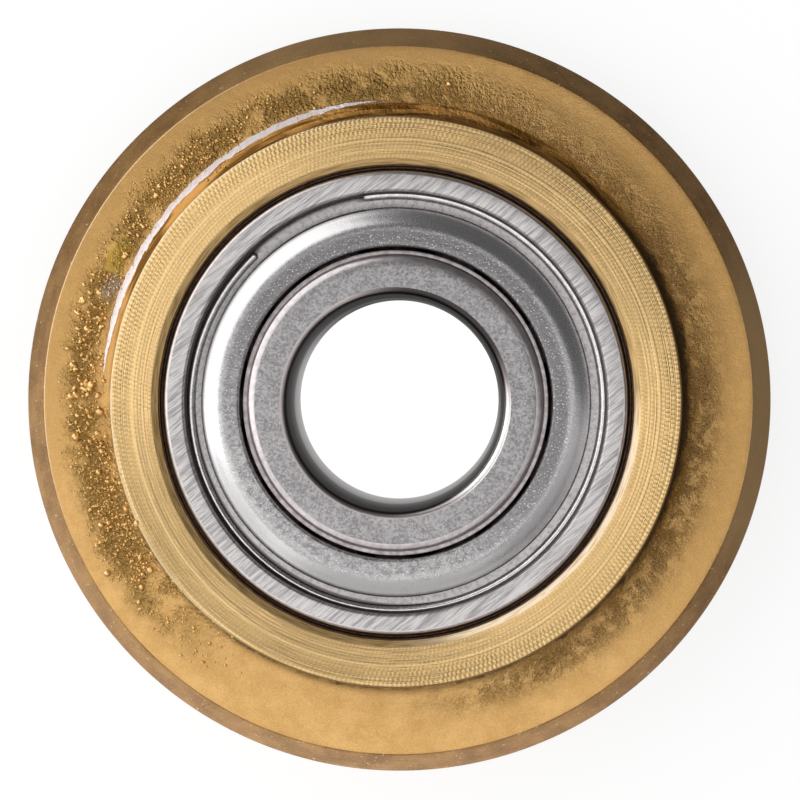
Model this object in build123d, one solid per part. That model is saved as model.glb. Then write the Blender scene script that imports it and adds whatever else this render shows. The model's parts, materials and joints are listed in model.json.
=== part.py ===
from build123d import *
import os
from math import atan2, cos, pi, sin, tan

os.makedirs("parts", exist_ok=True)

# A scoring wheel for tiles, turning on a shielded miniature ball bearing.
# The axle's axis is Z, and the origin is in the middle of the bore.
# All sizes are in millimetres. Every piece is symmetric about the middle plane unless a
# function says otherwise.

# Cutting wheel
rim_diameter = 21.5
cutting_land = 0.06             # width of the blunted cutting edge
bevel_depth = 0.67              # how far the ground bevel runs in from the rim
bevel_width = 1.9               # width of the disc where the bevels end
root_width = 2.4                # width of the disc where its flanks would meet the hub
root_radius = 0.75
hub_diameter = 15.8
hub_edge_break = 0.08
seat_chamfer_width = 0.3
seat_chamfer_depth = 0.22

# Bearing
bore_diameter = 6.0
inner_ring_wall = 1.1
shoulder_gap = 1.3              # from the inner ring's shoulder to the outer ring's
outer_ring_wall = 1.1
bearing_width = 5.0
bearing_stand_out = 0.1         # how far each face of the bearing stands out of the hub
bore_corner_radius = 0.18
outer_edge_run = 0.19           # steep edge at the outside diameter: how far it leans
outer_edge_depth = 0.35
inner_edge_run = 0.12           # steep edge beside the shield's lip: how far it leans
inner_edge_depth = 0.3
face_edge_radius = 0.05         # rounding between a ring's face and its steep edge
lip_ledge_width = 0.14          # how far the ledge under the lip stands out of the shoulder
lip_ledge_height = 0.75

# Balls and raceways
ball_count = 8
ball_diameter = 1.984
ball_play = 0.01                # gap between a ball and the bottom of each raceway
raceway_conformity = 1.04       # raceway radius for each unit of ball radius

# Cage of two pressed halves
cage_sheet = 0.2
cage_side_gap = 0.2             # gap between the cage and the shoulders of the rings
pocket_gap = 0.05
rivet_diameter = 0.4
rivet_head_diameter = 0.7
rivet_head_height = 0.12
rivet_gap = 0.01

# Shields and the wire rings that hold them
recess_wall = 0.68              # wall of the outer ring beside a shield
recess_depth = 0.8
shield_sheet = 0.2
shield_rim_gap = 0.02
shield_foot_wall = 1.115        # from the outside diameter to the foot of the shield's rise
shield_rise_run = 0.28          # how far the rise leans inwards
shield_set_back = 0.15          # from the bearing's face down to the shield's face
shield_crown_radius = 0.86
shield_foot_radius = 0.28
shield_lip_radius = 0.14
shield_lip_gap = 0.14           # gap between the shield's lip and the ledge
wire_diameter = 0.3
wire_groove_depth = 0.08
wire_play = 0.02
wire_opening = 34.0             # degrees of arc left open between the wire's ends
front_wire_middle = 116.0       # degrees from +X to the middle of the front opening
rear_wire_middle = 296.0        # the same for the rear opening

# Worked out from the sizes above
half_bearing = bearing_width / 2
half_hub = half_bearing - bearing_stand_out
bore_r = bore_diameter / 2
inner_shoulder_r = bore_r + inner_ring_wall
outer_shoulder_r = inner_shoulder_r + shoulder_gap
bearing_r = outer_shoulder_r + outer_ring_wall
hub_r = hub_diameter / 2
rim_r = rim_diameter / 2
pitch_r = (inner_shoulder_r + outer_shoulder_r) / 2
ball_r = ball_diameter / 2
raceway_r = ball_r * raceway_conformity
raceway_depth_r = ball_r + ball_play
lip_ledge_r = inner_shoulder_r + lip_ledge_width
lip_ledge_z = half_bearing - inner_edge_depth
recess_r = bearing_r - recess_wall
ledge_z = half_bearing - recess_depth
flange_z = ledge_z + shield_sheet
wire_r = wire_diameter / 2
wire_groove_r = recess_r + wire_groove_depth
wire_path_r = wire_groove_r - wire_play - wire_r
wire_z = flange_z + wire_r
pocket_r = ball_r + pocket_gap
cage_half_band = shoulder_gap / 2 - cage_side_gap
ball_step = 360 / ball_count


def ring_profile(upper_half):
    """A closed profile from the corners of its upper half, listed from the inside outwards."""
    lower_half = [(r, -z) for r, z in reversed(upper_half)]
    return make_face(Polyline(*upper_half, *lower_half, close=True))


def rounded(profile, corners, radius):
    """The profile with the named corners rounded, each on both sides of the middle plane."""
    picked = []
    for r, z in corners:
        for side in (z, -z):
            picked.append(profile.vertices().sort_by_distance((r, side, 0))[0])
    return fillet(picked, radius)


def turned(profile, arc=360.0):
    return revolve(Plane.XZ * profile, Axis.Z, arc)


def ball_places(start=0.0):
    """Places round the pitch circle, one for each ball, from the given angle."""
    places = []
    for count in range(ball_count):
        angle = (start + count * ball_step) * pi / 180
        places.append(Pos(pitch_r * cos(angle), pitch_r * sin(angle), 0))
    return places


def cutting_wheel():
    root = (hub_r, root_width / 2)
    corners = [
        (bearing_r, half_hub - seat_chamfer_depth),
        (bearing_r + seat_chamfer_width, half_hub),
        (hub_r - hub_edge_break, half_hub),
        (hub_r, half_hub - hub_edge_break),
        root,
        (rim_r - bevel_depth, bevel_width / 2),
        (rim_r, cutting_land / 2),
    ]
    return turned(rounded(ring_profile(corners), [root], root_radius))


def raceway(bottom_r):
    """The groove that the balls run in, whose bottom is at the given radius."""
    centre_r = bottom_r + raceway_r if bottom_r < pitch_r else bottom_r - raceway_r
    return Torus(centre_r, raceway_r)


def inner_ring():
    bore_corner = (bore_r, half_bearing)
    face_edge = (inner_shoulder_r - inner_edge_run, half_bearing)
    corners = [
        bore_corner,
        face_edge,
        (inner_shoulder_r, lip_ledge_z),
        (lip_ledge_r, lip_ledge_z),
        (lip_ledge_r, lip_ledge_z - lip_ledge_height),
        (inner_shoulder_r, lip_ledge_z - lip_ledge_height),
    ]
    profile = ring_profile(corners)
    profile = rounded(profile, [bore_corner], bore_corner_radius)
    profile = rounded(profile, [face_edge], face_edge_radius)
    return turned(profile) - raceway(pitch_r - raceway_depth_r)


def outer_ring():
    face_edge = (bearing_r - outer_edge_run, half_bearing)
    corners = [
        (outer_shoulder_r, ledge_z),
        (recess_r, ledge_z),
        (recess_r, flange_z),
        (wire_groove_r, flange_z),
        (wire_groove_r, flange_z + wire_diameter + wire_play),
        (recess_r, flange_z + wire_diameter + wire_play),
        (recess_r, half_bearing),
        face_edge,
        (bearing_r, half_bearing - outer_edge_depth),
    ]
    profile = rounded(ring_profile(corners), [face_edge], face_edge_radius)
    return turned(profile) - raceway(pitch_r + raceway_depth_r)


def cage_half():
    """The front half: flat webs on the middle plane, with a dished pocket over each ball."""
    band = Circle(pitch_r + cage_half_band) - Circle(pitch_r - cage_half_band)
    reach = pocket_r + cage_sheet
    half = extrude(band, cage_sheet)
    dish_room = extrude(band, reach)
    for place in ball_places():
        half += dish_room & (place * Sphere(reach))
    for place in ball_places():
        half -= place * Sphere(pocket_r)
    for place in ball_places(ball_step / 2):
        half -= place * Cylinder(rivet_diameter / 2 + rivet_gap, 2 * reach)
    return half


def rivet():
    """One rivet, with its shank through both webs and a flat head on each."""
    shank = Cylinder(rivet_diameter / 2, 2 * cage_sheet)
    head = Cylinder(rivet_head_diameter / 2, rivet_head_height)
    offset = cage_sheet + rivet_head_height / 2
    return shank + Pos(0, 0, offset) * head + Pos(0, 0, -offset) * head


def front_shield():
    """A dished sheet from the ledge of the outer ring to a lip beside the inner ring."""
    rise = half_bearing - shield_set_back - flange_z
    shift = shield_sheet * tan(atan2(rise, shield_rise_run) / 2)
    foot_r = bearing_r - shield_foot_wall
    crown_r = foot_r - shield_rise_run
    rim_of_shield_r = recess_r - shield_rim_gap
    lip_r = lip_ledge_r + shield_lip_gap
    face_z = flange_z + rise
    foot = (foot_r, flange_z)
    crown = (crown_r, face_z)
    lip = (lip_r, face_z)
    foot_below = (foot_r - shift, flange_z - shield_sheet)
    crown_below = (crown_r - shift, face_z - shield_sheet)
    profile = make_face(
        Polyline(
            (rim_of_shield_r, flange_z),
            foot,
            crown,
            lip,
            (lip_r, face_z - shield_sheet),
            crown_below,
            foot_below,
            (rim_of_shield_r, flange_z - shield_sheet),
            close=True,
        )
    )
    rounds = [
        (foot, shield_foot_radius - shield_sheet),
        (foot_below, shield_foot_radius),
        (crown, shield_crown_radius),
        (crown_below, shield_crown_radius - shield_sheet),
        (lip, shield_lip_radius),
    ]
    for corner, radius in rounds:
        nearest = profile.vertices().sort_by_distance((*corner, 0))[0]
        profile = fillet(nearest, radius)
    return turned(profile)


def wire_ring(opening_middle):
    """The front wire ring, open where the given angle points."""
    section = Pos(wire_path_r, wire_z) * Circle(wire_r)
    wire = turned(section, 360 - wire_opening)
    return Rot(0, 0, opening_middle + wire_opening / 2) * wire


def to_rear(piece):
    """The piece mirrored to the other side of the middle plane."""
    return mirror(piece, Plane.XY)


pieces = {
    "cutting_wheel": cutting_wheel(),
    "outer_ring": outer_ring(),
    "inner_ring": inner_ring(),
    "cage_front_half": cage_half(),
    "cage_rear_half": to_rear(cage_half()),
    "cage_rivets": Compound([place * rivet() for place in ball_places(ball_step / 2)]),
    "front_shield": front_shield(),
    "rear_shield": to_rear(front_shield()),
    "front_snap_ring": wire_ring(front_wire_middle),
    "rear_snap_ring": to_rear(wire_ring(rear_wire_middle)),
}
for number, place in enumerate(ball_places(), start=1):
    pieces[f"ball_{number}"] = place * Sphere(ball_r)

for name, piece in pieces.items():
    export_step(piece, f"parts/{name}.step")
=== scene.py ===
import json
import math
import bpy
import numpy as np
from mathutils import Matrix, Vector

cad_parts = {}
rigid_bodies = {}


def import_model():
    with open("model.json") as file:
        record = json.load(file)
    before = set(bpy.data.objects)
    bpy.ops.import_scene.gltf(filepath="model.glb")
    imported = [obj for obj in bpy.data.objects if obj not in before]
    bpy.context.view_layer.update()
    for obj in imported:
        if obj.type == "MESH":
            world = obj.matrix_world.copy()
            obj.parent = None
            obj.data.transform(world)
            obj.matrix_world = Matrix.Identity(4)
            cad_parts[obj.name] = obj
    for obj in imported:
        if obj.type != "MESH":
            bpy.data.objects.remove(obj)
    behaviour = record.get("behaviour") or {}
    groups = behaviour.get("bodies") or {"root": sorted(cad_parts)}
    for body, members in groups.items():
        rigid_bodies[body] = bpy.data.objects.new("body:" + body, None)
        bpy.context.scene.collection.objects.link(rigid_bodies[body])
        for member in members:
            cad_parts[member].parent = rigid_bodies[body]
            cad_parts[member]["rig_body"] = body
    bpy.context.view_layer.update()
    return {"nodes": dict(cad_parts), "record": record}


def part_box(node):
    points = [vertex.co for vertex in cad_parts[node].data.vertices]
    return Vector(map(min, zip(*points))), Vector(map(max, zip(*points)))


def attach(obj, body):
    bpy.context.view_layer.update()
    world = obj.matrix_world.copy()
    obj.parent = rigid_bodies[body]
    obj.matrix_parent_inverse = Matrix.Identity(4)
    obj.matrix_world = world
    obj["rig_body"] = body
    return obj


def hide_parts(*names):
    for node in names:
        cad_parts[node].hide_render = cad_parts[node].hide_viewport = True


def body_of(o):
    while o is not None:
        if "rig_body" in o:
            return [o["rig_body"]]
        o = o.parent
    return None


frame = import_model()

# The scoring wheel lies flat with its front face up. Lengths in the settings are in
# millimetres, angles in degrees from +X, and meshes are written in metres.
mm = 0.001


def boxMm(nodeName):
    low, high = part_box(nodeName)
    return low / mm, high / mm


def boreRadiusMm():
    mounts = frame["record"]["mounts"]
    return next(m["dims"]["r_mm"] for m in mounts if m["name"] == "axle_bore")


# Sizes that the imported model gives
rimR = boxMm("cutting_wheel")[1].x
hubHalf = boxMm("cutting_wheel")[1].z
bearingR = boxMm("outer_ring")[1].x
bearingHalf = boxMm("outer_ring")[1].z
ledgeR = boxMm("inner_ring")[1].x
boreR = boreRadiusMm()
shieldRimR = boxMm("front_shield")[1].x
shieldFaceZ = boxMm("front_shield")[1].z
shieldBackZ = boxMm("front_shield")[0].z
wireOuterR = boxMm("front_snap_ring")[1].x
wireTopZ = boxMm("front_snap_ring")[1].z
wireR = (wireTopZ - boxMm("front_snap_ring")[0].z) / 2


def addObject(name, data):
    obj = bpy.data.objects.new(name, data)
    bpy.context.scene.collection.objects.link(obj)
    return obj


# Node trees

def feed(tree, socket, value):
    if isinstance(value, bpy.types.NodeSocket):
        tree.links.new(value, socket)
    elif value is not None:
        socket.default_value = value


def addNode(tree, kind, inputs=None, **settings):
    made = tree.nodes.new(kind)
    for name, value in settings.items():
        setattr(made, name, value)
    for name, value in (inputs or {}).items():
        feed(tree, made.inputs[name], value)
    return made


def calc(tree, operation, a, b=None, c=None):
    made = addNode(tree, "ShaderNodeMath", operation=operation)
    for socket, value in zip(made.inputs, (a, b, c)):
        feed(tree, socket, value)
    return made.outputs[0]


def total(tree, *values):
    result = values[0]
    for value in values[1:]:
        result = calc(tree, "ADD", result, value)
    return result


def product(tree, *values):
    result = values[0]
    for value in values[1:]:
        result = calc(tree, "MULTIPLY", result, value)
    return result


def sumOf(tree, *terms):
    # each term is a tuple of factors
    return total(tree, *(product(tree, *term) for term in terms))


def inverse(tree, value):
    return calc(tree, "SUBTRACT", 1.0, value)


def ramp(tree, value, low, high, toLow=0.0, toHigh=1.0):
    # smooth step from toLow at low to toHigh at high
    made = addNode(tree, "ShaderNodeMapRange", interpolation_type="SMOOTHSTEP")
    for name, given in (("Value", value), ("From Min", low), ("From Max", high),
                        ("To Min", toLow), ("To Max", toHigh)):
        feed(tree, made.inputs[name], given)
    return made.outputs["Result"]


def scaled(tree, vector, factors):
    made = addNode(tree, "ShaderNodeVectorMath", operation="MULTIPLY")
    feed(tree, made.inputs[0], vector)
    made.inputs[1].default_value = factors
    return made.outputs[0]


def pointAt(tree, x, y):
    return addNode(tree, "ShaderNodeCombineXYZ", {"X": x, "Y": y}).outputs[0]


def noise(tree, vector, scale, detail=2.0, rough=0.5):
    made = addNode(tree, "ShaderNodeTexNoise", {
        "Vector": vector, "Scale": scale, "Detail": detail, "Roughness": rough})
    return made.outputs["Fac"]


def cells(tree, vector, scale, feature="F1"):
    made = addNode(tree, "ShaderNodeTexVoronoi", {"Vector": vector, "Scale": scale}, feature=feature)
    return made.outputs["Distance"]


def polar(tree, vectorMm):
    parts = addNode(tree, "ShaderNodeSeparateXYZ", {"Vector": vectorMm}).outputs
    across = calc(tree, "MULTIPLY", parts["X"], parts["X"])
    radius = calc(tree, "SQRT", calc(tree, "MULTIPLY_ADD", parts["Y"], parts["Y"], across))
    angle = calc(tree, "ARCTAN2", parts["Y"], parts["X"])
    return radius, angle, parts["Z"]


# Materials

def startMaterial(name):
    material = bpy.data.materials.new(name)
    material.use_nodes = True
    tree = material.node_tree
    tree.nodes.clear()
    where = addNode(tree, "ShaderNodeTexCoord").outputs["Object"]
    return material, tree, scaled(tree, where, (1 / mm, 1 / mm, 1 / mm))


def finishMaterial(tree, color, rough, height=None, anisotropic=0.0):
    shader = addNode(tree, "ShaderNodeBsdfPrincipled",
                     {"Metallic": 1.0, "Base Color": color, "Roughness": rough})
    if height is not None:
        # heights are in millimetres
        bump = addNode(tree, "ShaderNodeBump", {"Height": height, "Distance": mm, "Strength": 1.0})
        tree.links.new(bump.outputs["Normal"], shader.inputs["Normal"])
    if anisotropic:
        # turned grooves spread light across themselves
        shader.inputs["Anisotropic"].default_value = anisotropic
        shader.inputs["Anisotropic Rotation"].default_value = 0.25
        around = addNode(tree, "ShaderNodeTangent", direction_type="RADIAL", axis="Z")
        tree.links.new(around.outputs[0], shader.inputs["Tangent"])
    out = addNode(tree, "ShaderNodeOutputMaterial")
    tree.links.new(shader.outputs["BSDF"], out.inputs["Surface"])


def blendColor(tree, factor, first, second):
    made = addNode(tree, "ShaderNodeMix", data_type="RGBA")
    feed(tree, made.inputs[0], factor)
    feed(tree, made.inputs[6], first)
    feed(tree, made.inputs[7], second)
    return made.outputs[2]


def window(tree, value, low, high, soft):
    # 1 between low and high, falling off over soft on each side
    rise = ramp(tree, calc(tree, "SUBTRACT", value, low), -soft, soft)
    fall = ramp(tree, calc(tree, "SUBTRACT", value, high), -soft, soft, 1.0, 0.0)
    return product(tree, rise, fall)


def arcWindow(tree, angle, arc):
    # 1 within an arc about the axis, given in degrees as (middle, half, softness of its ends)
    middle, half, soft = arc
    wave = calc(tree, "COSINE", calc(tree, "SUBTRACT", angle, math.radians(middle)))
    outside = math.cos(math.radians(min(180, half + soft)))
    inside = math.cos(math.radians(max(0, half - soft)))
    return ramp(tree, wave, outside, inside)


def eitherArc(tree, angle, arcs):
    return calc(tree, "MAXIMUM", arcWindow(tree, angle, arcs[0]), arcWindow(tree, angle, arcs[1]))


turnedGold = {
    "light": (1.0, 0.72, 0.35, 1),
    "dark": (0.76, 0.48, 0.195, 1),
    # the hub's edge has a painted highlight along one arc and painted shade elsewhere
    "edge": (1.0, 0.80, 0.50, 1),
    "hubEdgeShade": (0.34, 0.20, 0.08, 1),
    "hubEdgeHighlightArc": (160.0, 70.0, 15.0),
    "edgeR": 7.83,
    "rough": 0.32,
    "anisotropic": 0.9,
    "linesPerMm": 17.0,
    "lineHeight": 0.017,
    "lineShade": 0.24,
    "ticks": 380,
    "tickRowsPerMm": 7.0,
    "tickInnerR": 7.42,
    "tickHeight": 0.004,
    "tickShade": 0.42,
    "fadedArc": (228.0, 32.0, 18.0),
    "grainHeight": 0.002,
    "grainShade": 0.6,
}


def makeTurnedGold():
    s = turnedGold
    material, tree, where = startMaterial("turnedGold")
    radius, angle, side = polar(tree, where)
    fromMiddle = calc(tree, "ABSOLUTE", side)
    wobble = product(tree, noise(tree, where, 0.7, 2.0), 0.7)
    ringPlace = pointAt(tree, product(tree, radius, s["linesPerMm"]), wobble)
    lines = ramp(tree, noise(tree, ringPlace, 1.0, 3.0, 0.65), 0.34, 0.66)
    # short radial chatter marks in rings, each ring with its own phase
    row = calc(tree, "FLOOR", product(tree, radius, s["tickRowsPerMm"]))
    phase = sumOf(tree, (angle, s["ticks"] / math.tau),
                  (noise(tree, where, 2.6, 2.0), 0.7), (row, 0.37))
    wave = calc(tree, "SINE", product(tree, phase, math.tau))
    wearAndHighlight = ramp(tree, noise(tree, where, 2.1, 3.0, 0.6), 0.3, 0.5, 0.25, 1.0)
    outer = ramp(tree, radius, s["tickInnerR"] - 0.1, s["tickInnerR"] + 0.08, 0.4, 1.0)
    kept = total(tree, 1.0, product(tree, arcWindow(tree, angle, s["fadedArc"]), -0.75))
    onFace = ramp(tree, fromMiddle, hubHalf - 0.03, hubHalf - 0.015)
    ticks = product(tree, wave, outer, wearAndHighlight, onFace, kept)
    height = sumOf(tree, (lines, s["lineHeight"]), (ticks, s["tickHeight"]),
                   (noise(tree, where, 15.0, 3.0, 0.6), s["grainHeight"]))
    shade = sumOf(tree, (lines, s["lineShade"]), (ticks, s["tickShade"]),
                  (noise(tree, where, 24.0, 2.0), s["grainShade"]))
    color = blendColor(tree, ramp(tree, shade, 0.0, 0.9), s["dark"], s["light"])
    # painted highlight on the hub's edge along one arc, painted shade on it elsewhere
    edge = blendColor(tree, arcWindow(tree, angle, s["hubEdgeHighlightArc"]), s["hubEdgeShade"], s["edge"])
    atEdge = product(tree, ramp(tree, radius, s["edgeR"], s["edgeR"] + 0.03),
                     ramp(tree, fromMiddle, hubHalf - 0.08, hubHalf - 0.05))
    color = blendColor(tree, atEdge, color, edge)
    finishMaterial(tree, color, s["rough"], height, s["anisotropic"])
    return material


seatGold = {
    # pale is a painted highlight on one arc of the chamfer
    "pale": (0.68, 0.55, 0.40, 1),
    "light": (0.70, 0.48, 0.22, 1),
    "dark": (0.42, 0.27, 0.11, 1),
    "roughHighlight": 0.2,
    "rough": 0.5,
    "seatHighlightArc": (318.0, 38.0, 14.0),
    "linesPerMm": 30.0,
}


def makeSeatGold():
    # the chamfer has a painted highlight on one arc
    s = seatGold
    material, tree, where = startMaterial("seatGold")
    radius, angle, _ = polar(tree, where)
    wearAndHighlight = arcWindow(tree, angle, s["seatHighlightArc"])
    along = pointAt(tree, product(tree, radius, s["linesPerMm"]), product(tree, angle, 9.0))
    lines = noise(tree, along, 1.0, 2.0)
    color = blendColor(tree, ramp(tree, lines, 0.35, 0.6), s["dark"], s["light"])
    seatHighlight = product(tree, wearAndHighlight, ramp(tree, lines, 0.35, 0.5, 0.35, 1.0))
    color = blendColor(tree, seatHighlight, color, s["pale"])
    finishMaterial(tree, color, ramp(tree, wearAndHighlight, 0.0, 1.0, s["rough"], s["roughHighlight"]))
    return material


sinteredGold = {
    "light": (0.79, 0.485, 0.19, 1),
    "dark": (0.62, 0.36, 0.125, 1),
    "crust": (0.31, 0.185, 0.055, 1),
    # painted shade near the root on one arc, and in cloudy patches on two more arcs
    "paintedShade": (0.30, 0.155, 0.04, 1),
    "paintedShadeArc": (30.0, 80.0, 40.0),
    "shadeArcs": ((135.0, 45.0, 30.0), (5.0, 38.0, 25.0)),
    # fine grit that the light rakes on the far side
    "gritArcs": ((330.0, 46.0, 20.0), (55.0, 45.0, 15.0)),
    "gritInnerR": 8.1,
    "gritOuterR": 9.05,
    "gritHeight": 0.055,
    # the colour of painted glints
    "paintedGlint": (1.0, 0.86, 0.55, 1),
    # painted shade along the root, wider on one arc
    "rootShade": (0.10, 0.06, 0.03, 1),
    "rootShadeArc": (322.0, 114.0, 14.0),
    "rootShadeWideArc": (38.0, 48.0, 20.0),
    "rootShadeR": 7.78,
    # a smooth lump in the crust and a grey smudge beside it: arc, radii, colour
    "lump": ((152.5, 3.2, 1.3), 8.68, 9.2, (0.40, 0.255, 0.045, 1)),
    "smudge": ((158.0, 1.8, 1.3), 8.6, 8.95, (0.30, 0.245, 0.215, 1)),
    "lumpHeight": 0.04,
    # amber is a painted reflection of the hub wall, brown is painted shade
    "amber": (0.58, 0.30, 0.085, 1),
    "brown": (0.17, 0.075, 0.014, 1),
    "amberArc": (105.0, 64.0, 14.0),
    "amberOuterR": 8.46,
    "roughSmooth": 0.40,
    "roughCrust": 0.30,
    # the crust reaches further in on one arc
    "crustArc": (150.0, 74.0, 22.0),
    "crustInnerR": 8.95,
    "crustOuterR": 9.9,
    "reachArc": (216.0, 30.0, 12.0),
    "reach": 0.4,
    # the bare band along the root, pale as a painted highlight on its arc
    "bareAndHighlight": (0.86, 0.75, 0.72, 1),
    "bareArc": (134.0, 35.0, 12.0),
    "bareStartR": 8.51,
    "bareEndR": 8.35,
    "bareHalfWidth": 0.105,
}


def bareMask(tree, radius, angle, where):
    # the bare band along the root, pale as a painted highlight, which tapers at both ends
    s = sinteredGold
    edge = product(tree, total(tree, noise(tree, where, 2.6, 5.0, 0.6), -0.5), 0.16)
    middleDegrees, halfDegrees, _ = s["bareArc"]
    middle = addNode(tree, "ShaderNodeMapRange", {
        "Value": angle,
        "From Min": math.radians(middleDegrees - halfDegrees),
        "From Max": math.radians(middleDegrees + halfDegrees),
        "To Min": s["bareStartR"],
        "To Max": s["bareEndR"]}).outputs["Result"]
    offset = calc(tree, "ABSOLUTE", calc(tree, "SUBTRACT", total(tree, radius, edge), middle))
    half = product(tree, arcWindow(tree, angle, s["bareArc"]), s["bareHalfWidth"])
    return ramp(tree, calc(tree, "SUBTRACT", half, offset), 0.0, 0.025)


def crustMask(tree, radius, angle, where):
    # where the flank is a crust of grains, on the shader side and in the geometry alike
    s = sinteredGold
    ragged = product(tree, noise(tree, where, 1.7, 4.0, 0.6), 0.9)
    reach = product(tree, arcWindow(tree, angle, s["reachArc"]), s["reach"])
    inner = calc(tree, "SUBTRACT", s["crustInnerR"], reach)
    across = window(tree, total(tree, radius, ragged), inner, s["crustOuterR"], 0.34)
    around = arcWindow(tree, angle, s["crustArc"])
    patches = ramp(tree, noise(tree, where, 1.15, 3.0, 0.55), 0.26, 0.50)
    covered = inverse(tree, bareMask(tree, radius, angle, where))
    return product(tree, across, around, patches, covered)


def makeSinteredGold():
    s = sinteredGold
    material, tree, where = startMaterial("sinteredGold")
    radius, angle, _ = polar(tree, where)
    crust = crustMask(tree, radius, angle, where)
    fine = noise(tree, where, 21.0, 4.0, 0.65)
    grains = cells(tree, where, 8.5)
    small = cells(tree, where, 19.0)
    cloud = noise(tree, where, 1.6, 5.0, 0.62)
    bareAndHighlight = bareMask(tree, radius, angle, where)
    height = sumOf(tree, (grains, crust, -0.05), (small, crust, -0.03), (fine, crust, 0.02),
                   (fine, 0.007), (bareAndHighlight, 0.01), (noise(tree, where, 4.5, 2.0), 0.006))
    shade = ramp(tree, sumOf(tree, (cloud, 0.45), (fine, 0.55)), 0.36, 0.64)
    color = blendColor(tree, shade, s["dark"], s["light"])
    # painted shade near the root on one arc, and in cloudy patches on two arcs
    paintedShade = product(tree, ramp(tree, radius, 8.2, 8.75, 1.0, 0.0),
                      arcWindow(tree, angle, s["paintedShadeArc"]))
    arcShade = product(tree, ramp(tree, cloud, 0.3, 0.6, 0.0, 0.36),
                   eitherArc(tree, angle, s["shadeArcs"]))
    color = blendColor(tree, calc(tree, "MAXIMUM", paintedShade, arcShade), color, s["paintedShade"])
    # grit, with painted shade in its pits and painted glints on a few points
    raked = product(tree, window(tree, radius, s["gritInnerR"], s["gritOuterR"], 0.45),
                    eitherArc(tree, angle, s["gritArcs"]))
    patchy = ramp(tree, noise(tree, where, 2.3, 4.0, 0.65), 0.36, 0.58, 0.25, 1.0)
    grit = noise(tree, where, 14.0, 4.0, 0.75)
    height = total(tree, height, product(tree, grit, raked, patchy, s["gritHeight"]))
    pitShade = product(tree, raked, patchy, ramp(tree, grit, 0.44, 0.54, 0.75, 0.0))
    color = blendColor(tree, pitShade, color, s["paintedShade"])
    paintedGlints = product(tree, raked, ramp(tree, noise(tree, where, 27.0, 2.0), 0.66, 0.70))
    color = blendColor(tree, paintedGlints, color, s["paintedGlint"])
    # ragged painted shade along the root
    ragged = sumOf(tree, (radius,), (noise(tree, where, 2.2, 5.0, 0.65), -0.55),
                   (arcWindow(tree, angle, s["rootShadeWideArc"]), -0.17))
    rootShade = product(tree, ramp(tree, ragged, s["rootShadeR"], s["rootShadeR"] + 0.14, 0.85, 0.0),
                      arcWindow(tree, angle, s["rootShadeArc"]))
    color = blendColor(tree, rootShade, color, s["rootShade"])
    # the crust's own dark tone, deepened between the grains as painted shade
    gaps = ramp(tree, sumOf(tree, (grains, 0.6), (fine, 0.55)), 0.3, 0.6, 0.55, 1.0)
    color = blendColor(tree, product(tree, crust, gaps), color, s["crust"])
    clouded = total(tree, radius, product(tree, cloud, 0.5), -0.25)
    for arc, innerR, outerR, tint in (s["lump"], s["smudge"]):
        spot = product(tree, arcWindow(tree, angle, arc), window(tree, clouded, innerR, outerR, 0.1))
        speckled = ramp(tree, fine, 0.3, 0.5, 0.6, 0.9)
        color = blendColor(tree, product(tree, spot, speckled), color, tint)
        height = total(tree, height, product(tree, spot, s["lumpHeight"]))
    # streaks of amber painted reflection and brown painted shade between the hub and the bare band
    streakPlace = pointAt(tree, product(tree, radius, 6.0), product(tree, angle, 4.0))
    streak = ramp(tree, noise(tree, streakPlace, 1.0, 3.0, 0.55), 0.40, 0.58)
    reached = ramp(tree, radius, s["amberOuterR"] - 0.04, s["amberOuterR"] + 0.04, 1.0, 0.0)
    reflectedStreaks = product(tree, reached, arcWindow(tree, angle, s["amberArc"]))
    color = blendColor(tree, reflectedStreaks, color, blendColor(tree, streak, s["brown"], s["amber"]))
    # the bare band's pale colour is partly a painted highlight
    specks = ramp(tree, noise(tree, where, 13.0, 2.0), 0.66, 0.72)
    color = blendColor(tree, product(tree, bareAndHighlight, inverse(tree, specks)), color, s["bareAndHighlight"])
    rough = ramp(tree, crust, 0.0, 0.7, s["roughSmooth"], s["roughCrust"])
    finishMaterial(tree, color, rough, height)
    return material


groundBronze = {
    "light": (0.56, 0.315, 0.115, 1),
    "dark": (0.32, 0.165, 0.055, 1),
    "speck": (0.80, 0.62, 0.42, 1),
    # arcs with painted light, and how much
    "paintedLightArcs": (((0.0, 17.0, 14.0), 0.75), ((96.0, 16.0, 14.0), 0.4)),
    "paintedLight": (0.90, 0.58, 0.27, 1),
    # a painted highlight along the top of the bevel
    "bevelHighlight": (0.85, 0.66, 0.45, 1),
    "bevelHighlightArc": (160.0, 36.0, 14.0),
    "bevelHighlightInnerR": 10.03,
    "bevelHighlightOuterR": 10.07,
    "rough": 0.42,
    "anisotropic": 0.3,
}


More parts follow.
